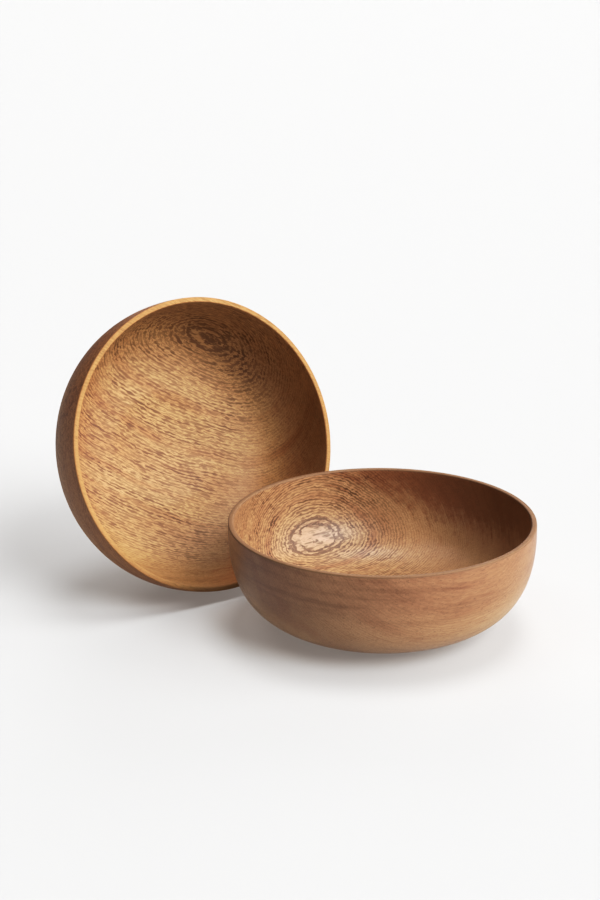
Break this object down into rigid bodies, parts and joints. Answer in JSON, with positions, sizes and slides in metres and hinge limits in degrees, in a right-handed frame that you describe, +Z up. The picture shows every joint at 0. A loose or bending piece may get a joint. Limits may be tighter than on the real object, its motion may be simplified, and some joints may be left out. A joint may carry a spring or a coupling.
{
  "type": "go stone bowl pair",
  "caption": "Matching shallow turned-wood go stone bowls without lids, one standing on its foot and its twin tipped on its side beside it.",
  "frame": {"origin": "centre of the standing bowl's foot, on the table", "axes": "+Z up out of the standing bowl's mouth; the tipped bowl lies at -X +Y with its mouth towards -Y"},
  "size_m": [0.2377, 0.1942, 0.148],
  "materials": {
    "standing_bowl_wood": "satin oiled hardwood, light tan and dark brown layers",
    "tipped_bowl_wood": "satin oiled hardwood, golden and reddish brown layers"
  },
  "bodies": {
    "standing_bowl": {"standing_bowl": "standing_bowl_wood"},
    "tipped_bowl": {"tipped_bowl": "tipped_bowl_wood"}
  },
  "joints": [
    {"name": "bowl_tip", "type": "hinge", "parent": "standing_bowl", "child": "tipped_bowl", "pos_m": [-0.10454, 0.07424, 0], "axis": [-0.8251, -0.565, 0], "range_deg": [0, 72.35]}
  ]
}
